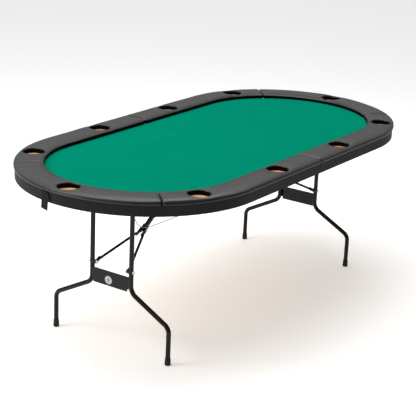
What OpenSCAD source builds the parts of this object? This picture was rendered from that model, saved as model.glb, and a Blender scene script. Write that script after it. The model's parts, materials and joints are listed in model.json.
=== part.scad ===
// Folding poker table: a stadium-shaped top in two hinged halves, each with one
// fold-down leg frame. +X runs along the top from the near end to the far end,
// +Y across it, +Z up. The origin is on the floor, under the middle of the top.

/* [Top] */
// Overall length of the table top
table_length = 2134; // [1900:1:2300]
// Overall width of the table top
table_width = 1067; // [1000:1:1150]
// Height of the top of the padded rim above the floor
table_height = 762; // [740:1:790]
// Width of the padded rim
rim_width = 126.6; // [110:0.1:140]
// Thickness of a rim pad
pad_thick = 25; // [20:1:32]
// Bore of a cup hole
cup_bore_d = 91; // [80:1:96]
// Thickness of the deck board
deck_thick = 12; // [9:1:15]
// Height of the skirt below the rim pads
skirt_height = 43; // [40:1:50]
// Thickness of the skirt
skirt_thick = 15; // [10:1:18]
// How far the rim pads overhang the skirt
pad_overhang = 5; // [2:1:8]

/* [Legs] */
// Distance from the fold line to a leg frame
leg_x = 734; // [700:1:760]
// Half the distance between the upright tubes of a leg frame
upright_y = 102; // [90:1:120]
// Half the distance between the feet of a leg frame
foot_y = 299; // [250:1:330]
// Height of the upper bend of a leg
knee_z = 263; // [240:1:300]
// Height of the lower bend of a leg
ankle_z = 159; // [140:1:180]
// Outer diameter of the leg tube
leg_tube_d = 20; // [18:0.5:20]

/* [Braces] */
// Distance from the fold line to the pivots of the upper brace arms
anchor_x = 176; // [170:1:180]
// Distance from the fold line to the joint of a brace
brace_joint_x = 526.4; // [526:0.1:527]
// Height of the joint of a brace
brace_joint_z = 454.7; // [454:0.1:455]
// Height on the leg of the pivots of the lower brace arms
brace_foot_z = 350; // [349:0.1:351]
// Outer diameter of a brace arm
brace_d = 11; // [9:0.5:12]

/* [Hidden] */
$fn = 96;
eps = 0.01;

// outline: two half circles joined by straight sides
end_r = table_width / 2;
end_x = table_length / 2 - end_r;
rim_in_r = end_r - rim_width;
cup_r = cup_bore_d / 2;
cup_path_r = (end_r + rim_in_r) / 2;
seam_angle = 45;
fold_gap = 0.75;
pad_gap = 0.5;
// clearance between pieces that lie against each other's curved faces
curve_gap = 0.3;
// the side pads' cup holes: one on the straight, one on the curve
side_cup_x = 255;
side_cup_angle = 64;

// levels
rim_base_z = table_height - pad_thick;
pad_board_thick = 3;
underlay_thick = 2;
felt_thick = 1;
deck_top_z = rim_base_z - pad_board_thick;
deck_base_z = deck_top_z - deck_thick;
skirt_base_z = rim_base_z - skirt_height;
skirt_r = end_r - pad_overhang;
skirt_in_r = skirt_r - skirt_thick;
deck_r = skirt_in_r - 0.2;
board_in_r = rim_in_r + 3;
underlay_r = board_in_r - 0.5;
felt_r = rim_in_r - curve_gap;
felt_base_z = rim_base_z - felt_thick;
mount_plate = 3;
plate_z = deck_base_z - mount_plate;

// fold hinge
batten_w = 18;
batten_base_z = skirt_base_z + 3;
hinge_z = skirt_base_z - 1;
hinge_leaf_t = 2.5;
hinge_leaf_w = 60;
hinge_knuckle_r = 4;
hinge_pin_r = 2;
hinge_ys = [-380, 0, 380];
knuckle_gap = 0.2;
batten_end_gap = 2;

// leg frame
leg_r = leg_tube_d / 2;
tube_wall = 1.2;
leg_pivot_z = skirt_base_z + 13;
leg_top_z = leg_pivot_z + leg_r;
cap_floor = 4;
knee_bend_r = 47;
ankle_bend_r = 40;
bend_entry = 1;
bend_step = 0.03;
splay_angle = atan2(foot_y - upright_y, knee_z - ankle_z);
knee_tangent = knee_bend_r * tan(splay_angle / 2);
ankle_tangent = ankle_bend_r * tan(splay_angle / 2);
pivot_tube_r = 8;
pivot_half_length = 150;
fit_gap = 0.05;
bracket_y = 130;
bracket_half_w = 12;
bracket_plate_l = 52;
bracket_block_l = 23;
bracket_boss_r = 12;
bracket_screw_x = 19;
panel_base_z = 265;
panel_top_z = 330;
panel_t = 1.5;
panel_offset = 7.2;
panel_bead_h = 13;
panel_bead_proud = 1.7;
panel_end_gap = 4;
cap_h = 32;
cap_r = 12.5;

// braces, seen from the side as points [x, z] of the near half
anchor_p = [-anchor_x, deck_base_z - 12];
joint_p = [-brace_joint_x, brace_joint_z];
brace_foot_p = [-leg_x, brace_foot_z];
upper_len = norm(anchor_p - joint_p);
lower_len = norm(joint_p - brace_foot_p);
upper_slope = atan2(anchor_p[1] - joint_p[1], anchor_p[0] - joint_p[0]);
lower_slope = atan2(joint_p[1] - brace_foot_p[1], joint_p[0] - brace_foot_p[0]);
brace_r = brace_d / 2;
pin_r = 4;
eye_r = 7.5;
anchor_y = 50;
anchor_plate_l = 40;
anchor_plate_half_w = 68;
ear_r = 8.5;
ear_gap = 4;
upper_tongue_y = 4.75;
upper_tongue_t = 5.5;
upper_tongue_len = 84;
upper_rod_y = 10;
lower_tongue_y = 13.1;
lower_tongue_t = 5;
lower_tongue_len = 36;
lower_rod_y = 19;
lower_eye_y = 83;
lower_eye_t = 6;
boss_r = 9;
bolt_head_r = 7;
bolt_head_h = 5;
rivet_head_r = 6.5;

// wire bail over the brace joint
wire_x = 300;
wire_y = 474;
wire_r = 1.8;
wire_pivot_r = 1.7;
wire_z = deck_base_z - 2.4;
bail_offset = 16.1;
lock_l = 38;
lock_back = 14;
lock_base = 8.5;
lock_h = 20.2;
bail_y = 20;
eyelet_t = 8;
eyelet_l = 20;
eyelet_h = 5;

// trim
strap_angle = 8;
strap_w = 38;
strap_t = 1.6;
strap_drop = 75;
strand_tilt = 25;
strand_l = 40;
strand_w = 30;
patch_w = 50;
patch_h = 28;
badge_r = 19.5;
badge_t = 1.2;
badge_y = 8;
badge_z = 291;

// ---------------------------------------------------------------- helpers
// mirrors the near half's parts to the far half
module far() mirror([1, 0, 0]) children();

// a copy on each side of the long axis
module both_sides() {
    children();
    mirror([0, 1, 0]) children();
}

// part of a ring about the near end's centre, from angle a, through angle sweep
module end_ring(r_in, r_out, z, h, a, sweep)
    translate([-end_x, 0, z]) rotate([0, 0, a])
        rotate_extrude(angle = sweep) translate([r_in, 0]) square([r_out - r_in, h]);

// flat plate that covers the near half inside the outline of radius r
module half_plate(r, z, h) union() {
    end_ring(0, r, z, h, 90, 180);
    translate([-end_x, -r, z]) cube([end_x - fold_gap, 2 * r, h]);
}

// straight bar beside the near half's straight side, from x0 to the fold
module side_bar(r_in, r_out, z, h)
    translate([-end_x, r_in, z]) cube([end_x - fold_gap, r_out - r_in, h]);

module rod(p, q, r) {
    d = q - p;
    translate(p) rotate([0, acos(d[2] / norm(d)), atan2(d[1], d[0])])
        cylinder(h = norm(d), r = r, $fn = 48);
}

// cylinder along Y about the point [x, z], from y0 to y1
module y_cylinder(p, r, y0, y1, fn = 48)
    translate([p[0], y0, p[1]]) rotate([-90, 0, 0]) cylinder(h = y1 - y0, r = r, $fn = fn);

// frame of an arm that leaves the point p at a slope; local X runs along the arm
module along(p, slope) translate([p[0], 0, p[1]]) rotate([0, -slope, 0]) children();

module pan_screw(x, y, z, head_r = 4, length = 9)
    translate([x, y, z]) {
        difference() {
            translate([0, 0, -2.2]) cylinder(h = 2.2, r = head_r, $fn = 32);
            translate([-0.6, -head_r, -2.3]) cube([1.2, 2 * head_r, 0.9]);
        }
        translate([0, 0, -eps]) cylinder(h = length, r = 1.6, $fn = 24);
    }

// ---------------------------------------------------------------- top
module deck_board() color("burlywood") half_plate(deck_r, deck_top_z - deck_thick, deck_thick);

module felt() color([0.02, 0.52, 0.42]) half_plate(felt_r, felt_base_z, felt_thick);

module felt_underlay() color("dimgray")
    half_plate(underlay_r, felt_base_z - underlay_thick, underlay_thick);

module skirt() color([0.08, 0.08, 0.09]) union() {
    end_ring(skirt_in_r, skirt_r, skirt_base_z, skirt_height, 90, 180);
    both_sides() side_bar(skirt_in_r, skirt_r, skirt_base_z, skirt_height);
}

module cup_hole(x, y) translate([x, y, rim_base_z - 1]) cylinder(h = pad_thick + 2, r = cup_r);

module end_pad() color([0.07, 0.07, 0.08]) difference() {
    end_ring(rim_in_r, end_r, rim_base_z, pad_thick, 180 - seam_angle, 2 * seam_angle);
    cup_hole(-end_x - cup_path_r, 0);
}

module side_pad() color([0.07, 0.07, 0.08]) difference() {
    union() {
        end_ring(rim_in_r, end_r, rim_base_z, pad_thick, 90, 90 - seam_angle - pad_gap / 5);
        side_bar(rim_in_r, end_r, rim_base_z, pad_thick);
    }
    cup_hole(-side_cup_x, cup_path_r);
    cup_hole(-end_x - cup_path_r * cos(side_cup_angle), cup_path_r * sin(side_cup_angle));
}

module pad_boards() color("tan") union() {
    end_ring(board_in_r, deck_r, deck_top_z, pad_board_thick, 90, 180);
    both_sides() side_bar(board_in_r, deck_r, deck_top_z, pad_board_thick);
}

module fold_batten() color("peru")
    translate([-batten_w - 1, -deck_r + batten_end_gap, batten_base_z])
        cube([batten_w, 2 * (deck_r - batten_end_gap), deck_base_z - batten_base_z]);

// ---------------------------------------------------------------- hinges
// three hinges under the fold; near leaves own the outer knuckles, far the middle one
module hinge_barrel(y, share) {
    third = hinge_leaf_w / 3;
    starts = share == "near" ? [0, 2] : [1];
    for (i = starts)
        y_cylinder([0, hinge_z], hinge_knuckle_r, y - hinge_leaf_w / 2 + i * third + knuckle_gap,
                   y - hinge_leaf_w / 2 + (i + 1) * third - knuckle_gap);
}

module hinge_tongues(y, share) {
    third = hinge_leaf_w / 3;
    starts = share == "near" ? [0, 2] : [1];
    for (i = starts)
        translate([-hinge_knuckle_r - 2, y - hinge_leaf_w / 2 + i * third + knuckle_gap,
                   batten_base_z - hinge_leaf_t])
            cube([hinge_knuckle_r + 2, third - 2 * knuckle_gap, hinge_leaf_t]);
}

module hinge_leaf_set(share) color("silver") for (y = hinge_ys) difference() {
    union() {
        hinge_barrel(y, share);
        hinge_tongues(y, share);
        translate([-batten_w - 1, y - hinge_leaf_w / 2, batten_base_z - hinge_leaf_t])
            cube([batten_w + 1 - hinge_knuckle_r - 1, hinge_leaf_w, hinge_leaf_t]);
    }
    y_cylinder([0, hinge_z], hinge_pin_r + fit_gap, y - hinge_leaf_w, y + hinge_leaf_w);
}

module hinge_pins() color("gray") for (y = hinge_ys)
    y_cylinder([0, hinge_z], hinge_pin_r, y - hinge_leaf_w / 2, y + hinge_leaf_w / 2);

// ---------------------------------------------------------------- brackets
module leg_pivot_brackets() color("dimgray") both_sides() difference() {
    union() {
        translate([-leg_x - bracket_plate_l / 2, bracket_y - bracket_half_w, plate_z])
            cube([bracket_plate_l, 2 * bracket_half_w, mount_plate]);
        translate([-leg_x - bracket_block_l / 2, bracket_y - bracket_half_w, leg_pivot_z])
            cube([bracket_block_l, 2 * bracket_half_w, plate_z - leg_pivot_z + eps]);
        y_cylinder([-leg_x, leg_pivot_z], bracket_boss_r, bracket_y - bracket_half_w,
                   bracket_y + bracket_half_w);
    }
    y_cylinder([-leg_x, leg_pivot_z], pivot_tube_r + fit_gap, bracket_y - 20, bracket_y + 20);
}

module anchor_ear(y0) difference() {
    union() {
        y_cylinder(anchor_p, ear_r, y0, y0 + mount_plate);
        translate([anchor_p[0] - ear_r + 0.5, y0, anchor_p[1]])
            cube([2 * ear_r - 1, mount_plate, plate_z - anchor_p[1] + eps]);
    }
    y_cylinder(anchor_p, pin_r + fit_gap, y0 - 1, y0 + mount_plate + 1);
}

module brace_anchor() color("dimgray") {
    translate([anchor_p[0] - anchor_plate_l / 2, -anchor_plate_half_w, plate_z])
        cube([anchor_plate_l, 2 * anchor_plate_half_w, mount_plate]);
    both_sides() {
        anchor_ear(anchor_y - ear_gap - mount_plate);
        anchor_ear(anchor_y + ear_gap);
    }
}

module anchor_pin() color("silver") {
    head_y = anchor_y + ear_gap + mount_plate + 0.5;
    y_cylinder(anchor_p, pin_r, -head_y - 1.5, head_y + 1.5);
    both_sides() y_cylinder(anchor_p, pin_r + 2, head_y, head_y + 1.5);
}

module wire_eyelets() color("silver") both_sides() difference() {
    translate([-wire_x - eyelet_l / 2, wire_y - eyelet_t / 2, deck_base_z - eyelet_h])
        cube([eyelet_l, eyelet_t, eyelet_h]);
    y_cylinder([-wire_x, wire_z], wire_pivot_r + fit_gap, wire_y - 10, wire_y + 10, 32);
}

module mount_screws() color("silver") {
    both_sides() {
        for (dx = [-1, 1] * bracket_screw_x) pan_screw(-leg_x + dx, bracket_y, plate_z);
        for (dx = [-13, 13]) pan_screw(anchor_p[0] + dx, 26, plate_z);
        for (dx = [-6.5, 6.5]) pan_screw(-wire_x + dx, wire_y, deck_base_z - eyelet_h, 3, 11);
    }
    for (y = hinge_ys, dy = [-20, 20])
        pan_screw(-batten_w / 2 - 3, y + dy, batten_base_z - hinge_leaf_t, 3.5);
}

// ---------------------------------------------------------------- leg frame
// round bend in the YZ plane about the point [y, z], from angle a on; Y is at 0
module tube_bend(y, z, bend_r, a, r)
    translate([-leg_x, y, z]) rotate([90, 0, 90]) rotate([0, 0, a])
        rotate_extrude(angle = splay_angle) translate([bend_r, 0]) circle(r = r, $fn = 48);

// solid path of a leg: upright, out at the knee, down again at the ankle to the foot
// the straight stretches are a hair thinner than the bends, and enter them a little way
module leg_path(r) {
    dir_y = sin(splay_angle);
    dir_z = -cos(splay_angle);
    knee_in = knee_tangent - bend_entry;
    ankle_in = ankle_tangent - bend_entry;
    straight_r = r - bend_step;
    rod([-leg_x, upright_y, knee_z + knee_in], [-leg_x, upright_y, leg_top_z], straight_r);
    tube_bend(upright_y + knee_bend_r, knee_z + knee_tangent, knee_bend_r, 180, r);
    rod([-leg_x, upright_y + knee_in * dir_y, knee_z + knee_in * dir_z],
        [-leg_x, foot_y - ankle_in * dir_y, ankle_z - ankle_in * dir_z], straight_r);
    tube_bend(foot_y - ankle_bend_r, ankle_z - ankle_tangent, ankle_bend_r, 0, r);
    rod([-leg_x, foot_y, cap_floor], [-leg_x, foot_y, ankle_z - ankle_in], straight_r);
}

module leg_tube() color([0.06, 0.06, 0.07]) difference() {
    leg_path(leg_r);
    leg_path(leg_r - tube_wall);
    y_cylinder([-leg_x, leg_pivot_z], pivot_tube_r + fit_gap, upright_y - 20, upright_y + 20);
    y_cylinder(brace_foot_p, pin_r + fit_gap, upright_y - 20, upright_y + 20);
}

module pivot_tube() color([0.06, 0.06, 0.07]) difference() {
    y_cylinder([-leg_x, leg_pivot_z], pivot_tube_r, -pivot_half_length, pivot_half_length);
    y_cylinder([-leg_x, leg_pivot_z], pivot_tube_r - tube_wall,
               -pivot_half_length - 1, pivot_half_length + 1);
}

// sheet steel panel on the outer side of the uprights, with a raised bead on top
module leg_panel() color([0.06, 0.06, 0.07]) difference() {
    half_w = upright_y - panel_end_gap;
    face_x = -leg_x - panel_offset - panel_t;
    union() {
        translate([face_x, -half_w, panel_base_z])
            cube([panel_t, 2 * half_w, panel_top_z - panel_base_z]);
        translate([face_x - panel_bead_proud, -half_w, panel_top_z - panel_bead_h])
            cube([panel_bead_proud + eps, 2 * half_w, panel_bead_h]);
    }
    both_sides() {
        translate([-leg_x, upright_y, panel_base_z - 10]) cylinder(h = 90, r = leg_r + fit_gap);
        translate([face_x - 5, half_w - 9, panel_base_z - 1]) cube([15, 30, 12]);
    }
}

module foot_caps() color([0.03, 0.03, 0.03]) both_sides()
    translate([-leg_x, foot_y, 0]) rotate_extrude($fn = 48)
        polygon([[0, 0], [cap_r - 1.5, 0], [cap_r, 2], [cap_r, 8], [leg_r + 1.4, cap_h - 1],
                 [leg_r + 0.8, cap_h], [leg_r + fit_gap, cap_h], [leg_r + fit_gap, cap_floor],
                 [0, cap_floor]]);

module brace_bosses() color([0.06, 0.06, 0.07]) both_sides() difference() {
    y_cylinder(brace_foot_p, boss_r, lower_eye_y + lower_eye_t / 2 + curve_gap, upright_y);
    translate([-leg_x, upright_y, brace_foot_z - 30]) cylinder(h = 60, r = leg_r + fit_gap);
    y_cylinder(brace_foot_p, pin_r + fit_gap, 0, upright_y);
}

module lower_brace_bolts() color("silver") both_sides() {
    head_y = lower_eye_y - lower_eye_t / 2 - curve_gap;
    nut_y = upright_y + leg_r + 0.2;
    y_cylinder(brace_foot_p, pin_r, head_y - eps, nut_y + eps);
    y_cylinder(brace_foot_p, bolt_head_r, head_y - bolt_head_h, head_y, 6);
    y_cylinder(brace_foot_p, bolt_head_r, nut_y, nut_y + bolt_head_h, 6);
}

// ---------------------------------------------------------------- braces
// flat eye plate about [0, 0] with a straight run along local X to length
module eye_plate(y, t, length) {
    y_cylinder([0, 0], eye_r, y - t / 2, y + t / 2);
    translate([length > 0 ? 0 : length, y - t / 2, -eye_r + 0.5])
        cube([abs(length), t, 2 * eye_r - 1]);
}

module lower_arm() difference() {
    along(joint_p, lower_slope) {
        eye_plate(lower_tongue_y, lower_tongue_t, -lower_tongue_len);
        translate([-lower_len, 0, 0]) eye_plate(lower_eye_y, lower_eye_t, 30);
        rod([-lower_tongue_len + 8, lower_rod_y - 1.5, 0],
            [-lower_len + 16, lower_eye_y - 1, 0], brace_r);
    }
    y_cylinder(joint_p, pin_r + fit_gap, 0, 100);
    y_cylinder(brace_foot_p, pin_r + fit_gap, 0, 100);
}

module lower_brace_arms() color([0.06, 0.06, 0.07]) both_sides() lower_arm();

module lower_brace_rivets() color("silver") both_sides() {
    inner_y = lower_tongue_y - lower_tongue_t / 2;
    outer_y = lower_tongue_y + lower_tongue_t / 2;
    y_cylinder(joint_p, pin_r, inner_y - 0.1, outer_y + 0.1);
    y_cylinder(joint_p, 6, inner_y - 0.7, inner_y - 0.1);
    y_cylinder(joint_p, rivet_head_r, outer_y + 0.1, outer_y + 2.6);
}

module upper_arm() difference() {
    along(joint_p, upper_slope) {
        eye_plate(upper_tongue_y, upper_tongue_t, upper_tongue_len);
        translate([upper_len, 0, 0]) eye_plate(anchor_y, 5, -26);
        rod([upper_tongue_len - 10, upper_rod_y - 1.5, 0],
            [upper_len - 14, anchor_y - 1, 0], brace_r);
    }
    y_cylinder(joint_p, pin_r + fit_gap, -1, 100);
    y_cylinder(anchor_p, pin_r + fit_gap, 0, 100);
}

module upper_brace_arms() color([0.06, 0.06, 0.07]) both_sides() upper_arm();

module brace_lock() color("silver") {
    cheek_y = upper_tongue_y + upper_tongue_t / 2 + 0.4;
    cheek_t = 1.2;
    difference() {
        along(joint_p, upper_slope) {
            both_sides() translate([-lock_back, cheek_y, -lock_base])
                cube([lock_l, cheek_t, lock_h]);
            translate([-lock_back, -cheek_y - cheek_t, lock_h - lock_base - cheek_t])
                cube([lock_l, 2 * (cheek_y + cheek_t), cheek_t]);
        }
        y_cylinder(joint_p, pin_r + fit_gap, -20, 20);
    }
}

module brace_pin() color("silver") {
    y_cylinder(joint_p, pin_r, -9.2, 9.2);
    y_cylinder(joint_p, rivet_head_r, -upper_tongue_y + upper_tongue_t / 2 + 0.2,
               upper_tongue_y - upper_tongue_t / 2 - 0.2);
}

// thin spring wire from the brace joint to both sides of the underside
module brace_wire() color("gray") {
    bail_x = joint_p[0] - bail_offset * sin(upper_slope);
    bail_z = joint_p[1] + bail_offset * cos(upper_slope);
    rod([bail_x, -bail_y - 1, bail_z], [bail_x, bail_y + 1, bail_z], wire_r + curve_gap);
    both_sides() {
        rod([bail_x, bail_y, bail_z], [-wire_x, wire_y - 8, wire_z], wire_r);
        rod([-wire_x, wire_y - 9, wire_z], [-wire_x, wire_y + 7, wire_z], wire_pivot_r);
    }
}

// ---------------------------------------------------------------- trim
// webbing strap that ties the folded halves together, hanging from the near skirt: one
// strand hangs straight down, and its fellow crosses it downwards towards the front
module closure_strap() color([0.1, 0.1, 0.1])
    translate([-end_x, 0, 0]) rotate([0, 0, 180 - strap_angle])
        translate([skirt_r + curve_gap, -strap_w / 2, rim_base_z - 1 - strap_drop]) {
            cube([strap_t, strap_w, strap_drop]);
            translate([strap_t, 5, strap_drop - 10]) rotate([strand_tilt, 0, 0])
                translate([0, 0, -strand_l]) cube([strap_t, strand_w, strand_l]);
        }

module strap_patch() color([0.12, 0.12, 0.12])
    translate([end_x + skirt_r + curve_gap, -patch_w / 2, rim_base_z - 36])
        cube([1.5, patch_w, patch_h]);

module badge() color("ivory")
    translate([-leg_x - panel_offset - panel_t - badge_t, badge_y, badge_z])
        rotate([0, 90, 0]) cylinder(h = badge_t, r = badge_r, $fn = 64);

deck_board();  // near_deck_board
far() deck_board();  // far_deck_board
felt();  // near_felt
far() felt();  // far_felt
felt_underlay();  // near_felt_underlay
far() felt_underlay();  // far_felt_underlay
skirt();  // near_skirt
far() skirt();  // far_skirt
end_pad();  // near_end_pad
far() end_pad();  // far_end_pad
side_pad();  // near_back_pad
far() side_pad();  // far_back_pad
mirror([0, 1, 0]) side_pad();  // near_front_pad
far() mirror([0, 1, 0]) side_pad();  // far_front_pad
pad_boards();  // near_pad_boards
far() pad_boards();  // far_pad_boards
fold_batten();  // near_fold_batten
far() fold_batten();  // far_fold_batten
leg_pivot_brackets();  // near_leg_pivot_brackets
far() leg_pivot_brackets();  // far_leg_pivot_brackets
brace_anchor();  // near_brace_anchor
far() brace_anchor();  // far_brace_anchor
anchor_pin();  // near_anchor_pin
far() anchor_pin();  // far_anchor_pin
wire_eyelets();  // near_wire_eyelets
far() wire_eyelets();  // far_wire_eyelets
mount_screws();  // near_mount_screws
far() mount_screws();  // far_mount_screws
leg_tube();  // near_leg_back_tube
far() leg_tube();  // far_leg_back_tube
mirror([0, 1, 0]) leg_tube();  // near_leg_front_tube
far() mirror([0, 1, 0]) leg_tube();  // far_leg_front_tube
pivot_tube();  // near_pivot_tube
far() pivot_tube();  // far_pivot_tube
leg_panel();  // near_leg_panel
far() leg_panel();  // far_leg_panel
foot_caps();  // near_foot_caps
far() foot_caps();  // far_foot_caps
brace_bosses();  // near_brace_bosses
far() brace_bosses();  // far_brace_bosses
lower_brace_bolts();  // near_lower_brace_bolts
far() lower_brace_bolts();  // far_lower_brace_bolts
lower_brace_arms();  // near_lower_brace_arms
far() lower_brace_arms();  // far_lower_brace_arms
lower_brace_rivets();  // near_lower_brace_rivets
far() lower_brace_rivets();  // far_lower_brace_rivets
upper_brace_arms();  // near_upper_brace_arms
far() upper_brace_arms();  // far_upper_brace_arms
brace_lock();  // near_brace_lock
far() brace_lock();  // far_brace_lock
brace_pin();  // near_brace_pin
far() brace_pin();  // far_brace_pin
brace_wire();  // near_brace_wire
far() brace_wire();  // far_brace_wire
hinge_leaf_set("near");  // near_hinge_leaves
far() hinge_leaf_set("far");  // far_hinge_leaves
hinge_pins();
closure_strap();
strap_patch();
badge();
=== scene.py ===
"""Folding poker table: padded vinyl rim, felt, strap, badge and wires around the CAD frame."""
import json
import math

import bmesh
import bpy
import numpy as np
from mathutils import Matrix, Vector, noise


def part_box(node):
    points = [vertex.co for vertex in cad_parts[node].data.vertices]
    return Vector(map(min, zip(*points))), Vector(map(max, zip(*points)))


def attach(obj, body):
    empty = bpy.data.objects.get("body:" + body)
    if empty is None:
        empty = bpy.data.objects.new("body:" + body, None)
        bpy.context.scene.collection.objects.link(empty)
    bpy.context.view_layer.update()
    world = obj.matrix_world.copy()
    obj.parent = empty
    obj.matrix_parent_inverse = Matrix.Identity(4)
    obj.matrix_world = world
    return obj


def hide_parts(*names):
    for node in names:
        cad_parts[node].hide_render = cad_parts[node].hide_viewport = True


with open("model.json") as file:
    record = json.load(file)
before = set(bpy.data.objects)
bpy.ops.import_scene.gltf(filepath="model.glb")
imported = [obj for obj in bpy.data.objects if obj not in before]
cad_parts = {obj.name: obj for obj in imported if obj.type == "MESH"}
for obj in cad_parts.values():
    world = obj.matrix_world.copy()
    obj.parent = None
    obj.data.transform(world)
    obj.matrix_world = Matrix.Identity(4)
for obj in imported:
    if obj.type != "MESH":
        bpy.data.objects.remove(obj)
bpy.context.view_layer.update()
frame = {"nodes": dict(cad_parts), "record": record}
NODES = frame["nodes"]
MM = 0.001
SAME_PLACE = 1e-6
SIDES = {"near": -1, "far": 1}  # each half's direction along x from the fold

# ---------------------------------------------------------------- camera and light
CAMERA_TARGET = Vector((0.0061, 0.0432, 0.4413))
CAMERA_AZIMUTH = math.radians(-55.689)
CAMERA_ELEVATION = math.radians(18.107)
CAMERA_ROLL = math.radians(2.498)
CAMERA_DISTANCE = 5.7165
CAMERA_LENS = 108.88
CAMERA_SENSOR = 36
CAMERA_REACH = 100

# (upward part of the direction, brightness)
SKY_LEVELS = [(0.0, 0.30), (0.22, 0.22), (0.30, 0.40), (0.40, 0.85), (0.6, 0.75), (1.0, 0.65)]
SKY_BRIGHT_SIDE = (0.1, 0.95, 0.0)
SKY_SIDE_LIMIT = 0.9
SKY_STRENGTHS = (0.2, 1.35)  # on the dim side and on the bright side
LIGHTS = {  # name: (location, size, watts)
    "key": ((-3.2, 2.2, 3.2), (2.0, 2.0), 80),
    "top": ((0.2, 0.4, 3.8), (4.0, 2.6), 95),
    "strip": ((-4.8, -0.4, 2.2), (0.3, 1.8), 12),
}
LIGHT_TARGET = Vector((0, 0, 0.6))
FLOOR_REACH = 40
FLOOR_COLOR = (0.96, 0.96, 0.96, 1)
FLOOR_GLOW = 0.3


def make_camera():
    """The photograph's viewing angle: a long lens, a little above the table's near corner."""
    data = bpy.data.cameras.new("camera")
    data.lens = CAMERA_LENS
    data.sensor_width = CAMERA_SENSOR
    data.clip_end = CAMERA_REACH
    camera = bpy.data.objects.new("camera", data)
    bpy.context.scene.collection.objects.link(camera)
    az, el = CAMERA_AZIMUTH, CAMERA_ELEVATION
    back = Vector((math.sin(az) * math.cos(el), -math.cos(az) * math.cos(el), math.sin(el)))
    camera.location = CAMERA_TARGET + back * CAMERA_DISTANCE
    camera.rotation_mode = "QUATERNION"
    right = Vector((math.cos(az), math.sin(az), 0))
    up = back.cross(right)
    turned_right = right * math.cos(CAMERA_ROLL) + up * math.sin(CAMERA_ROLL)
    turned_up = back.cross(turned_right)
    rotation = Matrix((turned_right, turned_up, back)).transposed()
    camera.rotation_quaternion = rotation.to_quaternion()
    bpy.context.scene.camera = camera


def make_area_light(name, location, size, watts):
    data = bpy.data.lights.new(name, "AREA")
    data.shape = "RECTANGLE"
    data.size, data.size_y = size
    data.energy = watts
    light = bpy.data.objects.new(name, data)
    bpy.context.scene.collection.objects.link(light)
    light.location = location
    light.rotation_mode = "QUATERNION"
    direction = LIGHT_TARGET - Vector(location)
    light.rotation_quaternion = direction.to_track_quat("-Z", "Y")


def make_sky():
    """A soft sky, brighter overhead and behind the table, and dim in front of it and near the horizon."""
    world = bpy.data.worlds.new("studio")
    world.use_nodes = True
    tree = world.node_tree
    background = tree.nodes["Background"]
    direction = tree.nodes.new("ShaderNodeTexCoord").outputs["Generated"]
    split = tree.nodes.new("ShaderNodeSeparateXYZ")
    tree.links.new(direction, split.inputs[0])
    ramp = tree.nodes.new("ShaderNodeValToRGB")
    while len(ramp.color_ramp.elements) < len(SKY_LEVELS):
        ramp.color_ramp.elements.new(0.5)
    for element, (position, level) in zip(ramp.color_ramp.elements, SKY_LEVELS):
        element.position = position
        element.color = (level, level, level, 1)
    tree.links.new(split.outputs["Z"], ramp.inputs["Fac"])
    side = tree.nodes.new("ShaderNodeVectorMath")
    side.operation = "DOT_PRODUCT"
    side.inputs[1].default_value = SKY_BRIGHT_SIDE
    tree.links.new(direction, side.inputs[0])
    strength = tree.nodes.new("ShaderNodeMapRange")
    strength.inputs["From Min"].default_value = -SKY_SIDE_LIMIT
    strength.inputs["From Max"].default_value = SKY_SIDE_LIMIT
    strength.inputs["To Min"].default_value, strength.inputs["To Max"].default_value = SKY_STRENGTHS
    tree.links.new(side.outputs["Value"], strength.inputs["Value"])
    tree.links.new(strength.outputs["Result"], background.inputs["Strength"])
    tree.links.new(ramp.outputs["Color"], background.inputs["Color"])
    bpy.context.scene.world = world


def make_floor():
    """A pale floor that glows a little, so that it stays white under the table's soft shadow."""
    mesh = bpy.data.meshes.new("floor")
    corners = [(x * FLOOR_REACH, y * FLOOR_REACH, 0) for x, y in ((-1, -1), (1, -1), (1, 1), (-1, 1))]
    mesh.from_pydata(corners, [], [(0, 1, 2, 3)])
    floor = bpy.data.objects.new("floor", mesh)
    bpy.context.scene.collection.objects.link(floor)
    material = new_material("floor_white")
    shader = material.node_tree.nodes["Principled BSDF"]
    shader.inputs["Base Color"].default_value = FLOOR_COLOR
    shader.inputs["Roughness"].default_value = 0.9
    shader.inputs["Emission Color"].default_value = (1, 1, 1, 1)
    shader.inputs["Emission Strength"].default_value = FLOOR_GLOW
    mesh.materials.append(material)


def make_studio():
    bpy.context.scene.view_settings.view_transform = "Standard"
    make_sky()
    for name, light in LIGHTS.items():
        make_area_light(name, *light)
    make_floor()


# ---------------------------------------------------------------- material helpers
MIX_COLOR_A, MIX_COLOR_B, MIX_COLOR_RESULT = 6, 7, 2  # sockets of a Mix node set to colours


def new_material(name):
    material = bpy.data.materials.new(name)
    material.use_nodes = True
    return material


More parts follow.
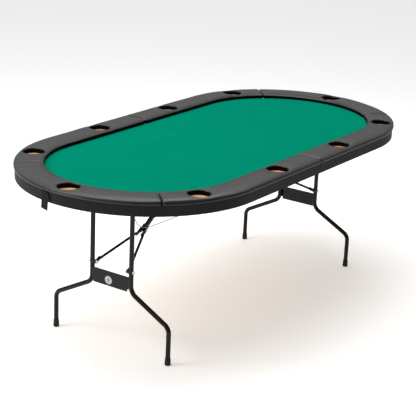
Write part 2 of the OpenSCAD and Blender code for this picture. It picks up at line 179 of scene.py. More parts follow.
class Nodes:
    """Builds one material's node tree on object coordinates. Keywords set the shader's own sockets."""

    def __init__(self, name, **sockets):
        self.material = new_material(name)
        self.tree = self.material.node_tree
        self.shader = self.tree.nodes["Principled BSDF"]
        for socket, value in sockets.items():
            self.shader.inputs[socket.replace("_", " ")].default_value = value
        self.coords = self.tree.nodes.new("ShaderNodeTexCoord").outputs["Object"]

    def link(self, a, b):
        self.tree.links.new(a, b)

    def noise(self, scale, detail=4, roughness=0.55, stretch=None):
        node = self.tree.nodes.new("ShaderNodeTexNoise")
        node.inputs["Scale"].default_value = scale
        node.inputs["Detail"].default_value = detail
        node.inputs["Roughness"].default_value = roughness
        self.link(self.stretched(stretch), node.inputs["Vector"])
        return node.outputs["Fac"]

    def voronoi(self, scale, feature="F1"):
        node = self.tree.nodes.new("ShaderNodeTexVoronoi")
        node.feature = feature
        node.inputs["Scale"].default_value = scale
        self.link(self.coords, node.inputs["Vector"])
        return node.outputs["Distance"]

    def wave(self, scale, direction):
        node = self.tree.nodes.new("ShaderNodeTexWave")
        node.bands_direction = direction
        node.inputs["Scale"].default_value = scale
        self.link(self.coords, node.inputs["Vector"])
        return node.outputs["Fac"]

    def stretched(self, stretch):
        """Object coordinates, scaled along each axis where stretch is given."""
        if stretch is None:
            return self.coords
        node = self.tree.nodes.new("ShaderNodeMapping")
        node.inputs["Scale"].default_value = stretch
        self.link(self.coords, node.inputs["Vector"])
        return node.outputs["Vector"]

    def ramp(self, fac, stops):
        """A colour ramp through stops of (position, colour)."""
        node = self.tree.nodes.new("ShaderNodeValToRGB")
        elements = node.color_ramp.elements
        while len(elements) < len(stops):
            elements.new(0.5)
        for element, (position, color) in zip(elements, stops):
            element.position = position
            element.color = (*color, 1)
        self.link(fac, node.inputs["Fac"])
        return node.outputs["Color"]

    def mix(self, fac, base, color):
        """The base output, turned towards a plain colour by fac."""
        node = self.tree.nodes.new("ShaderNodeMix")
        node.data_type = "RGBA"
        self.link(fac, node.inputs["Factor"])
        self.link(base, node.inputs[MIX_COLOR_A])
        node.inputs[MIX_COLOR_B].default_value = (*color, 1)
        return node.outputs[MIX_COLOR_RESULT]

    def remap(self, fac, low, high):
        node = self.tree.nodes.new("ShaderNodeMapRange")
        node.inputs["To Min"].default_value = low
        node.inputs["To Max"].default_value = high
        self.link(fac, node.inputs["Value"])
        return node.outputs["Result"]

    def color(self, output):
        self.link(output, self.shader.inputs["Base Color"])

    def roughness(self, fac, low, high):
        self.link(self.remap(fac, low, high), self.shader.inputs["Roughness"])

    def bump(self, *layers):
        """layers of (height output, depth in metres), from the finest to the broadest."""
        normal = None
        for height, depth in layers:
            node = self.tree.nodes.new("ShaderNodeBump")
            node.inputs["Distance"].default_value = depth
            self.link(height, node.inputs["Height"])
            if normal is not None:
                self.link(normal, node.inputs["Normal"])
            normal = node.outputs["Normal"]
        self.link(normal, self.shader.inputs["Normal"])


# ---------------------------------------------------------------- materials
def vinyl_material():
    """Black upholstery vinyl: fine pebble grain, satin, with broad uneven gloss."""
    n = Nodes("rim_vinyl", Specular_IOR_Level=0.5)
    grain = n.voronoi(620, "SMOOTH_F1")
    fine = n.noise(1500, 3)
    broad = n.noise(9, 4)
    n.color(n.ramp(broad, [(0.3, (0.0055, 0.0057, 0.0062)), (0.7, (0.0095, 0.0097, 0.0105))]))
    n.roughness(broad, 0.27, 0.40)
    n.bump((fine, 0.00004), (grain, 0.00016), (n.noise(55, 3), 0.0005))
    return n.material


def painted_shade_material():
    """Painted shade: a near-black, low-gloss matt material for the cup bores and the rim's inner wall,
    darker than the vinyl, standing in for the shade inside them.
    """
    n = Nodes("pad_painted_shade", Specular_IOR_Level=0.04)
    fine = n.noise(900, 4)
    n.color(n.ramp(fine, [(0.3, (0.0012, 0.0013, 0.0014)), (0.7, (0.0022, 0.0023, 0.0025))]))
    n.roughness(fine, 0.6, 0.8)
    n.bump((fine, 0.0001))
    return n.material


def felt_material():
    """Emerald speed felt: short nap, faint cloudiness and lint."""
    n = Nodes("felt_green", Roughness=0.95, Specular_IOR_Level=0.0)
    nap = n.noise(1400, 4, 0.7)
    cloud = n.noise(5, 5)
    fibres = n.noise(420, 3, 0.6, (1, 0.25, 1))
    base = n.ramp(cloud, [(0.3, (0.0004, 0.186, 0.112)), (0.7, (0.0005, 0.202, 0.124))])
    lighter = n.mix(n.remap(nap, 0.0, 0.3), base, (0.0006, 0.25, 0.16))
    n.color(n.mix(n.remap(fibres, 0.0, 0.25), lighter, (0.0002, 0.13, 0.08)))
    n.bump((nap, 0.00025), (fibres, 0.0003))
    return n.material


def skirt_material():
    """Dull black leatherette on the skirt."""
    n = Nodes("skirt_black", Specular_IOR_Level=0.14)
    fine = n.noise(900, 4)
    broad = n.noise(6, 3)
    n.color(n.ramp(broad, [(0.3, (0.008, 0.0088, 0.0092)), (0.7, (0.0125, 0.0136, 0.0142))]))
    n.roughness(fine, 0.52, 0.70)
    n.bump((fine, 0.00012), (n.voronoi(380), 0.0001))
    return n.material


def powder_coat_material():
    """Gloss black powder coat with a faint orange peel."""
    n = Nodes("leg_paint", Specular_IOR_Level=0.22)
    peel = n.noise(420, 2)
    n.color(n.ramp(n.noise(12, 3), [(0.3, (0.003, 0.003, 0.0033)), (0.7, (0.0055, 0.0055, 0.006))]))
    n.roughness(peel, 0.16, 0.30)
    n.bump((peel, 0.00008), (n.noise(1600, 2), 0.00002))
    return n.material


def wood_material(name, dark, mid, light, grain=(1, 14, 14)):
    """Raw board: long grain streaks with short pores."""
    n = Nodes(name, Specular_IOR_Level=0.25)
    streaks = n.noise(9, 8, 0.62, grain)
    pores = n.noise(260, 3, 0.6, (0.12, 1, 1))
    base = n.ramp(streaks, [(0.25, dark), (0.5, mid), (0.75, light)])
    n.color(n.mix(n.remap(pores, 0.0, 0.35), base, dark))
    n.roughness(streaks, 0.6, 0.8)
    n.bump((pores, 0.0002), (streaks, 0.0003))
    return n.material


def fibreboard_material(name, dark, mid, light):
    """Raw hardboard: short random fibres."""
    n = Nodes(name, Specular_IOR_Level=0.2)
    fibres = n.noise(520, 6, 0.7)
    cloud = n.noise(22, 4)
    base = n.ramp(cloud, [(0.3, mid), (0.7, light)])
    n.color(n.mix(n.remap(fibres, 0.05, 0.55), base, dark))
    n.roughness(fibres, 0.7, 0.9)
    n.bump((fibres, 0.00025))
    return n.material


def metal_material(name, dark, light, rough=(0.25, 0.45)):
    """Bright metal with uneven polish."""
    n = Nodes(name, Metallic=1.0)
    cloud = n.noise(120, 5, 0.6)
    n.color(n.ramp(cloud, [(0.3, dark), (0.7, light)]))
    n.roughness(n.noise(700, 3, 0.6), *rough)
    n.bump((n.noise(1100, 3, 0.5), 0.00004))
    return n.material


def rubber_material():
    """Black rubber with fine moulded rings."""
    n = Nodes("foot_rubber", Specular_IOR_Level=0.3)
    fine = n.noise(800, 4)
    n.color(n.ramp(fine, [(0.3, (0.010, 0.010, 0.010)), (0.7, (0.018, 0.018, 0.018))]))
    n.roughness(fine, 0.6, 0.8)
    n.bump((fine, 0.00015), (n.wave(160, "Z"), 0.0004))
    return n.material


def foam_material():
    """Dark open-cell foam."""
    n = Nodes("underlay_foam", Roughness=0.95, Specular_IOR_Level=0.1)
    cells = n.voronoi(900)
    n.color(n.ramp(cells, [(0.1, (0.05, 0.05, 0.05)), (0.8, (0.12, 0.12, 0.12))]))
    n.bump((cells, 0.0004))
    return n.material


def webbing_material():
    """Black nylon yarns. The webbing's ribs are in the mesh."""
    n = Nodes("webbing_black", Specular_IOR_Level=0.08)
    yarn = n.noise(900, 4, 0.6, (1, 1, 0.3))
    n.color(n.ramp(yarn, [(0.3, (0.007, 0.007, 0.007)), (0.7, (0.022, 0.022, 0.022))]))
    n.roughness(yarn, 0.6, 0.85)
    n.bump((yarn, 0.0003))
    return n.material


def enamel_material(name, low, high, rough=(0.2, 0.35), metallic=0.0):
    """The badge's lacquered surfaces."""
    n = Nodes(name, Metallic=metallic, Coat_Weight=0.3, Coat_Roughness=0.15)
    cloud = n.noise(150, 4)
    n.color(n.ramp(cloud, [(0.3, low), (0.7, high)]))
    n.roughness(n.noise(500, 3), *rough)
    n.bump((n.noise(900, 2), 0.00003))
    return n.material


def make_materials():
    """One material for each slot, and the painted shade for the pads' cup bores and inner wall."""
    return {
        "rim_vinyl": vinyl_material(),
        # near-black painted shade for the pads' cup bores and inner wall
        "pad_painted_shade": painted_shade_material(),
        "felt": felt_material(),
        "skirt": skirt_material(),
        "leg_paint": powder_coat_material(),
        "deck_wood": wood_material("deck_wood", (0.30, 0.19, 0.10), (0.47, 0.32, 0.18), (0.58, 0.42, 0.26)),
        "batten_wood": wood_material(
            "batten_wood", (0.36, 0.23, 0.12), (0.55, 0.38, 0.21), (0.66, 0.48, 0.29), (14, 1, 14)
        ),
        "board_wood": fibreboard_material(
            "board_wood", (0.42, 0.17, 0.06), (0.72, 0.34, 0.15), (0.86, 0.45, 0.22)
        ),
        "underlay_foam": foam_material(),
        "zinc_steel": metal_material("zinc_steel", (0.42, 0.42, 0.43), (0.66, 0.66, 0.67)),
        "hinge_steel": metal_material("hinge_steel", (0.38, 0.37, 0.34), (0.62, 0.61, 0.57)),
        "wire_steel": metal_material("wire_steel", (0.16, 0.16, 0.17), (0.30, 0.31, 0.32), (0.3, 0.5)),
        "foot_rubber": rubber_material(),
        "webbing": webbing_material(),
        "badge_enamel": enamel_material("badge_enamel", (0.46, 0.46, 0.45), (0.66, 0.66, 0.64)),
        "badge_metal": enamel_material(
            "badge_metal", (0.20, 0.20, 0.20), (0.36, 0.36, 0.35), (0.25, 0.4), metallic=1.0
        ),
    }


# ---------------------------------------------------------------- piece helpers
def add_piece(name, vertices, faces, material, body):
    """A smooth-shaded mesh that rides on a body, with one material."""
    mesh = bpy.data.meshes.new(name)
    mesh.from_pydata(vertices, [], faces)
    mesh.update()
    piece = bpy.data.objects.new(name, mesh)
    bpy.context.scene.collection.objects.link(piece)
    mesh.materials.append(material)
    mesh.polygons.foreach_set("use_smooth", [True] * len(mesh.polygons))
    outward_normals(piece)
    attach(piece, body)
    return piece


def outward_normals(piece):
    bm = bmesh.new()
    bm.from_mesh(piece.data)
    bmesh.ops.recalc_face_normals(bm, faces=bm.faces)
    bm.to_mesh(piece.data)
    bm.free()


def apply_modifiers(piece):
    """Bakes a piece's modifiers into its mesh."""
    graph = bpy.context.evaluated_depsgraph_get()
    mesh = bpy.data.meshes.new_from_object(piece.evaluated_get(graph))
    old = piece.data
    piece.modifiers.clear()
    piece.data = mesh
    bpy.data.meshes.remove(old)


# ---------------------------------------------------------------- rim pads, in millimetres
END_R = 533.5  # outer edge of the rim around an end's centre
END_X = 533.5  # distance of an end's centre from the fold
RIM_W = 126.6
MID_R = END_R - RIM_W / 2
SIDE_CUP_ANGLE = 19  # degrees along the bend from a side pad's end seam to its first cup hole
SIDE_CUP_FROM_FOLD = 255  # from the fold to a side pad's second cup hole
CUP_R = 45.5
CUP_LIP = 5.2  # radius of the roll round a cup hole
CUP_DIP = 2.2  # how far the top sinks towards a cup hole, over CUP_DIP_REACH
CUP_DIP_REACH = 15
PAD_TOP = 762.0
PAD_BASE = 737.25
CROWN_TOP = PAD_TOP - 0.4  # leaves room for the puffing
CROWN = 1.0
SHOULDER = 27.0  # how far the rolled edge reaches in from the pad's outline
SHOULDER_DROP = 13.4
SEAM_SHOULDER = 17.0  # the roll is tighter and shallower at the seams
SEAM_DROP = 8.6
ROLL_LIP = 0.5  # the roll ends this far inside the outline
ROLL_POWER = 2.1
CORNER_R = 8.0
CORNER_ZONE = 12.0  # stretch of the grid's border, each way, that goes round a corner
SEAM_GAP = 0.25
GRID_INSET = 11.0  # the top's grid ends this far inside the outline
GRID_W = RIM_W / 2 - GRID_INSET
GRID_HALF = 56.0  # half the side of the window round a cup hole
GRID_STEP = 8.0
GRID_END_STEP = 3.4
GRID_END_LINES = 4
CELLS_ACROSS = 16
WINDOW_SHARES = (0.42, 0.78, 1.0)  # rings from a window in to the lip of its cup hole
LIP_ANGLES = (18, 36, 54, 72, 90)
LIP_FREE_ANGLE = 40  # beyond this the lip is pinned
BORE_ROWS = (750, 745, 740.5, PAD_BASE)
EDGE_INSETS = (8.0, 5.6, 3.7, 2.3, 1.3)  # rings from the grid out to the pad's side
EDGE_FREE_INSET = 4  # closer to the outline than this they are pinned
CREASE_ROWS = ((-1.6, 748.9), (-4.2, 747.9))  # (outward, height) of the groove over the bead
BEAD_Z = 742.6
BEAD_R = 4.9
BEAD_ANGLES = (78, 55, 28, 0, -30, -62)
FOOT_ROWS = ((-2.6, PAD_BASE + 0.5), (-2.7, PAD_BASE))
FOOT_TUCK = 2.8  # the foot of the outer side is drawn further in, on to its board
INNER_WALL = -0.6  # the inner side is a plain wall just inside the outline, without a bead
FACES_SIDEWAYS = 0.3  # an outline direction with more than this across the pad is a long side
PUFF_CAP = 2.2
PUFF_FRAMES = 14
SEAM_FOLD, SEAM_FOLD_WAVE, SEAM_FOLD_AT, SEAM_FOLD_REACH = 0.32, 4.6, 10, 12
CUP_FOLD, CUP_FOLD_REACH = 0.20, 9
COVER_UNEVENNESS = 0.55


class PadPath:
    """Centre line of one of the near half's pads, from its end seam towards the fold."""

    def __init__(self, start_angle, arc_angle, straight):
        self.start = math.radians(start_angle)
        self.arc_length = MID_R * math.radians(arc_angle)
        self.length = self.arc_length + straight

    def at(self, s, w):
        """The point at s along the pad and w outward from its centre line."""
        if s <= self.arc_length:
            a = self.start - s / MID_R
            r = MID_R + w
            return -END_X + r * math.cos(a), r * math.sin(a)
        return -END_X + s - self.arc_length, MID_R + w


def pad_stations(path, places):
    """Grid lines along the pad: closer at the ends, and CELLS_ACROSS of them over each cup hole."""
    lo, hi = SEAM_GAP + GRID_INSET, path.length - SEAM_GAP - GRID_INSET
    lines = [lo + i * GRID_END_STEP for i in range(GRID_END_LINES + 1)]
    stops = [c + side * GRID_HALF for c in places for side in (-1, 1)]
    stops.append(hi - GRID_END_LINES * GRID_END_STEP)
    for i, stop in enumerate(stops):
        start = lines[-1]
        over_cup = i % 2 == 1 and i < 2 * len(places)
        n = CELLS_ACROSS if over_cup else max(1, round((stop - start) / GRID_STEP))
        lines += [start + (stop - start) * k / n for k in range(1, n + 1)]
    lines += [hi - i * GRID_END_STEP for i in reversed(range(GRID_END_LINES))]
    return lines


def rolled_edge(distance, reach, drop):
    """Height lost at a distance inside an edge that is rolled over within its reach."""
    q = 1 - min(max(distance - ROLL_LIP, 0.0) / reach, 1.0)
    return drop * (1 - math.sqrt(max(0.0, 1 - q**ROLL_POWER)))


def top_height(s, w, length, cups):
    """Height of the upholstery: crowned, rolled over at its edges and down into the cup holes."""
    side_roll = rolled_edge(RIM_W / 2 - abs(w), SHOULDER, SHOULDER_DROP)
    seam_roll = rolled_edge(length / 2 - SEAM_GAP - abs(s - length / 2), SEAM_SHOULDER, SEAM_DROP)
    roll = min(SHOULDER_DROP, math.hypot(side_roll, seam_roll))
    z = CROWN_TOP - CROWN * (w / (RIM_W / 2)) ** 2 - roll
    for c in cups:
        beyond = max(math.hypot(s - c, w) - CUP_R, 0.0)
        z -= CUP_DIP * math.exp(-((beyond / CUP_DIP_REACH) ** 2))
    return z


def pull_wrinkles(s, w, length, cups, phase):
    """Lift of the small folds where the vinyl is drawn into a seam or a cup hole."""
    to_seam = min(s, length - s)
    near_seam = math.exp(-((to_seam - SEAM_FOLD_AT) / SEAM_FOLD_REACH) ** 2)
    lift = SEAM_FOLD * math.sin(w / SEAM_FOLD_WAVE + phase) * near_seam
    for i, c in enumerate(cups):
        rho, angle = math.hypot(s - c, w), math.atan2(w, s - c)
        folds = math.sin(13 * angle + phase + i) + 0.6 * math.sin(7 * angle + 2 * phase)
        lift += CUP_FOLD * folds * math.exp(-(max(rho - CUP_R - 2, 0) / CUP_FOLD_REACH) ** 2)
    return lift + COVER_UNEVENNESS * noise.noise(Vector((s / 90, w / 60, phase)))


class PadMesh:
    """Builds one pad's closed quad mesh in (along, across, height), before it is bent to its path."""

    def __init__(self, path, cups):
        self.length, self.cups = path.length, cups
        self.lines = pad_stations(path, cups)
        self.across = [-GRID_W + 2 * GRID_W * k / CELLS_ACROSS for k in range(CELLS_ACROSS + 1)]
        self.points, self.faces = [], []
        self.pinned = []  # for each point, whether the simulation holds it still
        self.painted_shade_faces = set()  # faces that wear the painted shade: the near-black matt material of the cup bores and inner wall

    def add(self, s, w, z, pinned):
        self.points.append((s, w, z))
        self.pinned.append(pinned)
        return len(self.points) - 1

    def top(self, s, w):
        return top_height(s, w, self.length, self.cups)

    def in_cup(self, i):
        """Index of the cup hole whose patch covers the cell after grid line i, or None."""
        middle = (self.lines[i] + self.lines[i + 1]) / 2
        for k, c in enumerate(self.cups):
            if abs(middle - c) < GRID_HALF:
                return k
        return None

    def grid(self, height, pinned):
        """A flat grid with a square window over each cup hole. Returns the grid's vertex numbers."""
        ids = {}
        last = len(self.lines) - 1
        for i, s in enumerate(self.lines):
            before = self.in_cup(i - 1) if i > 0 else None
            after = self.in_cup(i) if i < last else None
            inner = before is not None and before == after
            for j, w in enumerate(self.across):
                if inner and 0 < j < CELLS_ACROSS:
                    continue
                ids[i, j] = self.add(s, w, height(s, w), pinned)
        for i in range(last):
            if self.in_cup(i) is None:
                for j in range(CELLS_ACROSS):
                    self.faces.append((ids[i, j], ids[i + 1, j], ids[i + 1, j + 1], ids[i, j + 1]))
        return ids

    def window(self, ids, k):
        """The grid's vertex numbers around the window of cup hole k, in order."""
        n = CELLS_ACROSS
        start = self.cups[k] - GRID_HALF
        first = next(i for i, line in enumerate(self.lines) if abs(line - start) < SAME_PLACE)
        ring = [ids[first + a, 0] for a in range(n)]
        ring += [ids[first + n, b] for b in range(n)]
        ring += [ids[first + n - a, n] for a in range(n)]
        ring += [ids[first, n - b] for b in range(n)]
        return ring

    def stitch(self, a, b):
        """Quads between two closed rings with as many vertices."""
        for k in range(len(a)):
            m = (k + 1) % len(a)
            self.faces.append((a[k], a[m], b[m], b[k]))

    def circle(self, ring, c, radius, height, pinned, share=1.0):
        """A ring of vertices that is share of the way from ring to a circle round the cup hole."""
        made = []
        for v in ring:
            s, w, _ = self.points[v]
            a = math.atan2(w, s - c)
            s2 = s + (c + radius * math.cos(a) - s) * share
            w2 = w + (radius * math.sin(a) - w) * share
            made.append(self.add(s2, w2, height(s2, w2), pinned))
        return made

    def cup(self, k, upper, lower):
        """The upholstery's way down a cup hole: square window, rolled lip, bore and underside."""
        c = self.cups[k]
        window = self.window(upper, k)
        ring = window
        outer = CUP_R + CUP_LIP

        def lip_height(s, w):
            a = math.atan2(w, s - c)
            return self.top(c + outer * math.cos(a), outer * math.sin(a))

        for share in WINDOW_SHARES:
            following = self.circle(window, c, outer, self.top, False, share)
            self.stitch(ring, following)
            ring = following
        for angle in LIP_ANGLES:
            a = math.radians(angle)
            radius = outer - CUP_LIP * math.sin(a)
            drop = CUP_LIP * (1 - math.cos(a))
            pinned = angle > LIP_FREE_ANGLE
            following = self.circle(window, c, radius, lambda s, w: lip_height(s, w) - drop, pinned)
            self.stitch(ring, following)
            ring = following
        # the bore's faces get the near-black painted shade material, standing in for the shade down the
        # hole
        first = len(self.faces)
        for z in BORE_ROWS:
            following = self.circle(window, c, CUP_R, lambda s, w: z, True)
            self.stitch(ring, following)
            ring = following
        self.painted_shade_faces.update(range(first, len(self.faces)))
        base_window = self.window(lower, k)
        following = self.circle(base_window, c, CUP_R, lambda s, w: PAD_BASE, True, 0.5)
        self.stitch(ring, following)
        self.stitch(following, base_window)

    def border(self, ids):
        """The grid's outer vertices, in order."""
        m, n = len(self.lines) - 1, CELLS_ACROSS
        ring = [ids[i, 0] for i in range(m)] + [ids[m, j] for j in range(n)]
        return ring + [ids[i, n] for i in range(m, 0, -1)] + [ids[0, j] for j in range(n, 0, -1)]

    def outline(self, ring):
        """For each border vertex, its place on the pad's outline and the outward direction there."""
        half_s = self.length / 2 - SEAM_GAP - GRID_INSET
        straight = CORNER_ZONE + GRID_INSET - CORNER_R
        outer_zone = 2 * straight + CORNER_R * math.pi / 2
        corner_u, corner_t = half_s + GRID_INSET - CORNER_R, GRID_W + GRID_INSET - CORNER_R
        found = []
        for v in ring:
            s, w, _ = self.points[v]
            u, side_u = abs(s - self.length / 2), math.copysign(1, s - self.length / 2)
            t, side_t = abs(w), math.copysign(1, w)
            on_side = abs(GRID_W - t) < SAME_PLACE
            distance = half_s - u if on_side else GRID_W - t
            if distance >= CORNER_ZONE:
                place, normal = ((u, t + GRID_INSET), (0, 1)) if on_side else ((u + GRID_INSET, t), (1, 0))
            else:
                travel = (CORNER_ZONE - distance) / (2 * CORNER_ZONE) * outer_zone
                along = min(travel, straight)
                a = math.pi / 2 - max(travel - straight, 0) / CORNER_R
                if on_side:
                    base = corner_u - (straight - along)
                    place = base + CORNER_R * math.cos(a), corner_t + CORNER_R * math.sin(a)
                    normal = math.cos(a), math.sin(a)
                else:
                    base = corner_t - (straight - along)
                    place = corner_u + CORNER_R * math.sin(a), base + CORNER_R * math.cos(a)
                    normal = math.sin(a), math.cos(a)
            found.append(
                (
                    (self.length / 2 + side_u * place[0], side_t * place[1]),
                    (side_u * normal[0], side_t * normal[1]),
                )
            )
        return found

    def edge_ring(self, ring, outline, inset):
        """A ring of the top that is inset from the outline, level with the ring of the grid."""
        share = 1 - inset / GRID_INSET
        made = []
        for v, (place, _) in zip(ring, outline):
            s = self.points[v][0] + (place[0] - self.points[v][0]) * share
            w = self.points[v][1] + (place[1] - self.points[v][1]) * share
            made.append(self.add(s, w, self.top(s, w), inset < EDGE_FREE_INSET))
        return made

    def side_ring(self, outline, offset, z):
        """A ring of the pad's side: offset outward with a bead outside, and plain inside."""
        made = []
        for place, normal in outline:
            out = INNER_WALL if normal[1] < -FACES_SIDEWAYS else offset
            if z < PAD_BASE + 1 and normal[1] > FACES_SIDEWAYS:
                out -= FOOT_TUCK
            made.append(self.add(place[0] + normal[0] * out, place[1] + normal[1] * out, z, True))
        return made

    def build(self):
        upper = self.grid(self.top, False)
        lower = self.grid(lambda s, w: PAD_BASE, True)
        for k in range(len(self.cups)):
            self.cup(k, upper, lower)
        ring = self.border(upper)
        outline = self.outline(ring)
        previous = ring
        for inset in EDGE_INSETS:
            following = self.edge_ring(ring, outline, inset)
            self.stitch(previous, following)
            previous = following
        bead = []
        for angle in BEAD_ANGLES:
            a = math.radians(angle)
            bead.append((-BEAD_R * (1 - math.cos(a)), BEAD_Z + BEAD_R * math.sin(a)))
        for offset, z in (*CREASE_ROWS, *bead, *FOOT_ROWS):
            following = self.side_ring(outline, offset, z)
            first = len(self.faces)
            self.stitch(previous, following)
            # the inner wall's faces get the near-black painted shade material, standing in for its shade
            inner = [i for i, (_, normal) in enumerate(outline) if normal[1] < -FACES_SIDEWAYS]
            self.painted_shade_faces.update(first + i for i in inner)
            previous = following
        self.stitch(previous, self.border(lower))
        return self


def bend_to_path(points, path, mirror_x, mirror_y):
    """Pad points at their places in the table, in metres."""
    made = []
    for s, w, z in points:
        x, y = path.at(s, w)
        made.append((x * mirror_x * MM, y * mirror_y * MM, z * MM))
    return made


def inflate(piece, pinned):
    """A short pressure simulation puffs the cover up over its foam, by no more than PUFF_CAP."""
    rest = np.array([v.co for v in piece.data.vertices])
    group = piece.vertex_groups.new(name="pinned")
    group.add([i for i, p in enumerate(pinned) if p], 1.0, "REPLACE")
    cloth = piece.modifiers.new("cloth", "CLOTH")
    settings = cloth.settings
    settings.vertex_group_mass = "pinned"
    settings.use_pressure = True
    settings.uniform_pressure_force = 3.5
    settings.tension_stiffness = 12
    settings.compression_stiffness = 10
    settings.bending_stiffness = 1.2
    settings.mass = 0.35
    settings.quality = 4
    settings.effector_weights.gravity = 0
    cloth.collision_settings.use_collision = False
    scene = bpy.context.scene
    for frame_number in range(1, PUFF_FRAMES + 1):
        scene.frame_set(frame_number)
    evaluated = piece.evaluated_get(bpy.context.evaluated_depsgraph_get())
    puffed = np.array([v.co for v in evaluated.data.vertices])
    piece.modifiers.clear()
    piece.vertex_groups.clear()
    move = puffed - rest
    size = np.linalg.norm(move, axis=1, keepdims=True)
    move *= np.minimum(1.0, PUFF_CAP * MM / np.maximum(size, 1e-9))
    piece.data.vertices.foreach_set("co", (rest + move).ravel())
    scene.frame_set(1)


def make_pad(side, place, path, cups, mirror_y, phase, materials):
    """One upholstered pad. Its phase makes its folds differ from the other pads' folds."""
    built = PadMesh(path, cups).build()
    shown = bend_to_path(built.points, path, -SIDES[side], mirror_y)
    vinyl = materials["rim_vinyl"]
    piece = add_piece(f"{side}_{place}_cushion", shown, built.faces, vinyl, f"{side}_half")
    inflate(piece, built.pinned)
    for vertex, pinned, (s, w, _) in zip(piece.data.vertices, built.pinned, built.points):
        if not pinned:
            vertex.co.z += pull_wrinkles(s, w, path.length, cups, phase) * MM
    # a second material, near-black painted shade, on the cup bores and the inner wall
    piece.data.materials.append(materials["pad_painted_shade"])
    for i in built.painted_shade_faces:
        piece.data.polygons[i].material_index = 1
    subdivision = piece.modifiers.new("smooth", "SUBSURF")
    subdivision.levels = subdivision.render_levels = 1
    apply_modifiers(piece)
    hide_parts(f"{side}_{place}_pad")


def make_pads(materials):
    end_path = PadPath(225, 90, 0)
    end_cups = [end_path.length / 2]
    side_path = PadPath(135, 45, END_X)
    side_cups = [MID_R * math.radians(SIDE_CUP_ANGLE), side_path.length - SIDE_CUP_FROM_FOLD]
    for index, side in enumerate(SIDES):
        make_pad(side, "end", end_path, end_cups, 1, 0.7 + index, materials)
        for row, (place, mirror_y) in enumerate((("back", 1), ("front", -1))):
            make_pad(side, place, side_path, side_cups, mirror_y, 2.1 + 1.3 * row + 2.9 * index, materials)


# ---------------------------------------------------------------- felt, in millimetres
FELT_R = 409.4  # reaches a little under the rim pads
FELT_TOP = 737.0
FELT_BASE = 736.1
FELT_LIFT = 0.12  # unevenness of the stretched cloth
FELT_ROUND_COLUMNS = 132
FELT_STRAIGHT_COLUMNS = 108
FELT_ROWS = 96
FOLD_GAP = 0.2  # from the fold line to the cloth's turned-down edge
FOLD_ROLL = 1.6
FOLD_DROP = 0.85
FOLD_SHARES = (1, 0.62, 0.3, 0.08, 0)  # columns over the roll, as shares of FOLD_ROLL


def felt_half_width(x):
    return FELT_R if x >= -END_X else math.sqrt(max(FELT_R**2 - (x + END_X) ** 2, 0))


def felt_height(x, y, seed):
    z = FELT_TOP + FELT_LIFT * noise.noise(Vector((x / 130, y / 170, seed)))
    beyond = max(0.0, x + FOLD_GAP + FOLD_ROLL) / FOLD_ROLL
    return z - FOLD_DROP * (1 - math.sqrt(max(0.0, 1 - beyond**2)))


def felt_columns():
    """Grid lines of the near half's cloth, from behind its tip to the fold."""
    quarter = math.pi / 2
    turns = [i / FELT_ROUND_COLUMNS * quarter for i in range(1, FELT_ROUND_COLUMNS)]
    arc = [-END_X - FELT_R * math.cos(turn) for turn in turns]
    step = (END_X - FOLD_GAP) / (FELT_STRAIGHT_COLUMNS + 2)
    straight = [-END_X + step * k for k in range(FELT_STRAIGHT_COLUMNS + 1)]
    return arc + straight + [-FOLD_GAP - FOLD_ROLL * share for share in FOLD_SHARES]


def make_felt(side, material):
    """Half of the playing cloth: stretched flat, and turned down over the edge at the fold."""
    sign = SIDES[side]
    seed = 3.1 * sign
    columns = felt_columns()
    vertices, faces = [], []
    for top in (True, False):
        for x in columns:
            for j in range(FELT_ROWS + 1):
                y = felt_half_width(x) * math.sin((j / FELT_ROWS - 0.5) * math.pi)
                z = felt_height(x, y, seed) if top else FELT_BASE
                vertices.append((x * -sign * MM, y * MM, z * MM))
    tip = len(vertices)
    x = -END_X - FELT_R
    for z in (felt_height(x, 0, seed), FELT_BASE):
        vertices.append((x * -sign * MM, 0, z * MM))
    n, m = FELT_ROWS + 1, len(columns)
    lower = m * n
    for layer in (0, 1):
        base = layer * lower
        for i in range(m - 1):
            for j in range(FELT_ROWS):
                a = base + i * n + j
                faces.append((a, a + n, a + n + 1, a + 1))
        for j in range(FELT_ROWS):
            faces.append((tip + layer, base + j, base + j + 1))
    for i in range(m - 1):
        for j in (0, FELT_ROWS):
            a = i * n + j
            faces.append((a, a + n, a + n + lower, a + lower))
    for j in range(FELT_ROWS):
        a = (m - 1) * n + j
        faces.append((a, a + 1, a + 1 + lower, a + lower))
    for j in (0, FELT_ROWS):
        faces.append((tip, j, j + lower, tip + 1))
    piece = add_piece(f"{side}_cloth", vertices, faces, material, f"{side}_half")
    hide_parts(f"{side}_felt")


# ---------------------------------------------------------------- wires, in metres
WIRE_R = 0.0018
WIRE_BEND = 0.012  # length of wire taken up by each bend
BAIL_INSET = 0.0021  # from the wire's box to the middle of the bail
BAIL_HALF_W = 0.020
WIRE_PIVOT_L = 0.006
WIRE_STRAIGHT = 0.12  # the wire is straight from this far off each end of its leg


def wire_route(side):
    """The wire's corners, mirrored to positive x."""
    low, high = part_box(f"{side}_brace_wire")
    pivot_x, pivot_z = min(abs(low.x), abs(high.x)) + WIRE_R, high.z - WIRE_R
    bail_x, bail_z = max(abs(low.x), abs(high.x)) - BAIL_INSET, low.z + BAIL_INSET
    start = Vector((bail_x, BAIL_HALF_W, bail_z))
    end = Vector((pivot_x, high.y - WIRE_PIVOT_L - 0.002, pivot_z))
    along = (end - start).normalized()
    half = [
        Vector((pivot_x, high.y, pivot_z)),
        Vector((pivot_x, high.y - WIRE_PIVOT_L, pivot_z)),
        end - along * WIRE_BEND,
        end - along * WIRE_STRAIGHT,
        start + along * WIRE_STRAIGHT,
        start + along * WIRE_BEND,
        Vector((bail_x, BAIL_HALF_W - WIRE_BEND, bail_z)),
    ]
    return half + [Vector((p.x, -p.y, p.z)) for p in reversed(half)]


